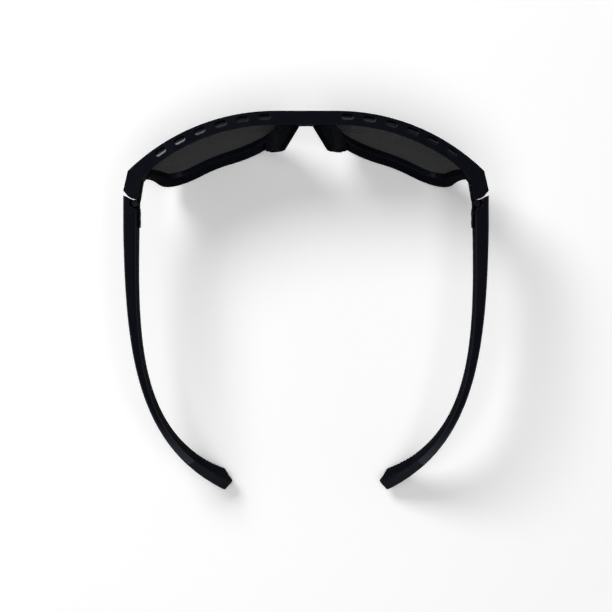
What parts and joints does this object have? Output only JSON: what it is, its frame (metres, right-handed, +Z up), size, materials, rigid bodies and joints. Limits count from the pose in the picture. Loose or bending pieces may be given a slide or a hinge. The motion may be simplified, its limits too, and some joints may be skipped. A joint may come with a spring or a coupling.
{
  "type": "square sunglasses",
  "caption": "Square wrap sunglasses with a flat vented brow bar, dark lenses, rubber nose pads and ear grips, and temples that fold on screwed hinges.",
  "frame": {"origin": "bottom centre of the bounding box of the open sunglasses, on the plane that the lower rims and the temple tips stand on", "axes": "the front faces -Y, +Z is up, +X is the wearer's left side"},
  "size_m": [0.1428, 0.1516, 0.046],
  "materials": {
    "frame_plastic": "polished moulded nylon, black with a slight navy cast",
    "lens_tint": "polished polycarbonate, dark grey tint",
    "grip_rubber": "soft moulded rubber, satin",
    "hinge_steel": "blackened steel, satin",
    "screw_steel": "dark plated steel, slightly polished"
  },
  "bodies": {
    "front": {"front_frame": "frame_plastic", "left_lens": "lens_tint", "right_lens": "lens_tint", "left_nose_pad": "grip_rubber", "right_nose_pad": "grip_rubber", "left_front_hinge_leaf": "hinge_steel", "right_front_hinge_leaf": "hinge_steel", "left_front_leaf_screws": "screw_steel", "right_front_leaf_screws": "screw_steel", "left_hinge_screw": "screw_steel", "right_hinge_screw": "screw_steel"},
    "left_arm": {"left_temple": "frame_plastic", "left_temple_hinge_leaf": "hinge_steel", "left_temple_leaf_screws": "screw_steel", "left_ear_grip": "grip_rubber"},
    "right_arm": {"right_temple": "frame_plastic", "right_temple_hinge_leaf": "hinge_steel", "right_temple_leaf_screws": "screw_steel", "right_ear_grip": "grip_rubber"}
  },
  "joints": [
    {"name": "left_hinge", "type": "hinge", "parent": "front", "child": "left_arm", "pos_m": [0.06705, -0.03975, 0.0365], "axis": [0, 0, 1], "range_deg": [0, 75]},
    {"name": "right_hinge", "type": "hinge", "parent": "front", "child": "right_arm", "pos_m": [-0.06705, -0.03975, 0.0365], "axis": [0, 0, -1], "range_deg": [0, 66]}
  ]
}
